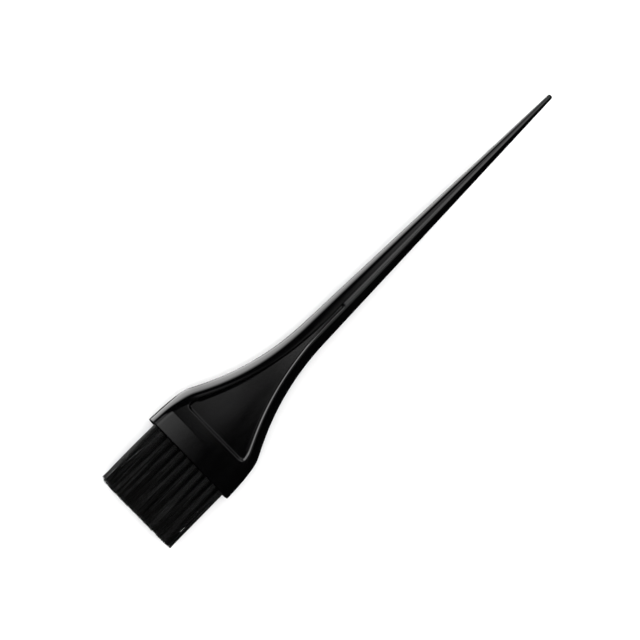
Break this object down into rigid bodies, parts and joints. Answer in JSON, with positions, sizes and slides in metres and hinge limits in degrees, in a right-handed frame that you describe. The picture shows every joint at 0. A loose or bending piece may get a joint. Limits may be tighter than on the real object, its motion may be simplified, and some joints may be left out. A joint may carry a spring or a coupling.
{
  "type": "tint brush",
  "caption": "Hair tint brush with a flat flared head, a sunk panel on each face, staggered bristle tufts and a long pointed sectioning tail.",
  "frame": {"origin": "on the flat back face of the head, on the centre line, 10 mm behind the mouth (the end face that holds the tufts)", "axes": "+X along the brush towards the bristle tips, +Y across the head, +Z out of the front face; the brush lies on its back"},
  "size_m": [0.2153, 0.04, 0.008],
  "materials": {
    "handle_plastic": "glossy black injection-moulded plastic, slightly softened shine",
    "bristle_nylon": "black nylon filaments, satin",
    "anchor_steel": "flat drawn wire, unpolished"
  },
  "bodies": {
    "handle": {"handle": "handle_plastic", "anchor_front_01": "anchor_steel", "anchor_front_02": "anchor_steel", "anchor_front_03": "anchor_steel", "anchor_front_04": "anchor_steel", "anchor_front_05": "anchor_steel", "anchor_front_06": "anchor_steel", "anchor_front_07": "anchor_steel", "anchor_front_08": "anchor_steel", "anchor_front_09": "anchor_steel", "anchor_front_10": "anchor_steel", "anchor_front_11": "anchor_steel", "anchor_back_01": "anchor_steel", "anchor_back_02": "anchor_steel", "anchor_back_03": "anchor_steel", "anchor_back_04": "anchor_steel", "anchor_back_05": "anchor_steel", "anchor_back_06": "anchor_steel", "anchor_back_07": "anchor_steel", "anchor_back_08": "anchor_steel", "anchor_back_09": "anchor_steel", "anchor_back_10": "anchor_steel"},
    "bristles": {"tuft_front_01": "bristle_nylon", "tuft_front_02": "bristle_nylon", "tuft_front_03": "bristle_nylon", "tuft_front_04": "bristle_nylon", "tuft_front_05": "bristle_nylon", "tuft_front_06": "bristle_nylon", "tuft_front_07": "bristle_nylon", "tuft_front_08": "bristle_nylon", "tuft_front_09": "bristle_nylon", "tuft_front_10": "bristle_nylon", "tuft_front_11": "bristle_nylon", "tuft_back_01": "bristle_nylon", "tuft_back_02": "bristle_nylon", "tuft_back_03": "bristle_nylon", "tuft_back_04": "bristle_nylon", "tuft_back_05": "bristle_nylon", "tuft_back_06": "bristle_nylon", "tuft_back_07": "bristle_nylon", "tuft_back_08": "bristle_nylon", "tuft_back_09": "bristle_nylon", "tuft_back_10": "bristle_nylon"}
  },
  "joints": [
    {"name": "bristle_flex", "type": "hinge", "parent": "handle", "child": "bristles", "pos_m": [0.01, 0, 0.004], "axis": [0, -1, 0], "range_deg": [-18, 18], "stiffness_Nm_per_rad": 0.04, "deforming": ["tuft_front_01", "tuft_front_02", "tuft_front_03", "tuft_front_04", "tuft_front_05", "tuft_front_06", "tuft_front_07", "tuft_front_08", "tuft_front_09", "tuft_front_10", "tuft_front_11", "tuft_back_01", "tuft_back_02", "tuft_back_03", "tuft_back_04", "tuft_back_05", "tuft_back_06", "tuft_back_07", "tuft_back_08", "tuft_back_09", "tuft_back_10"]}
  ]
}
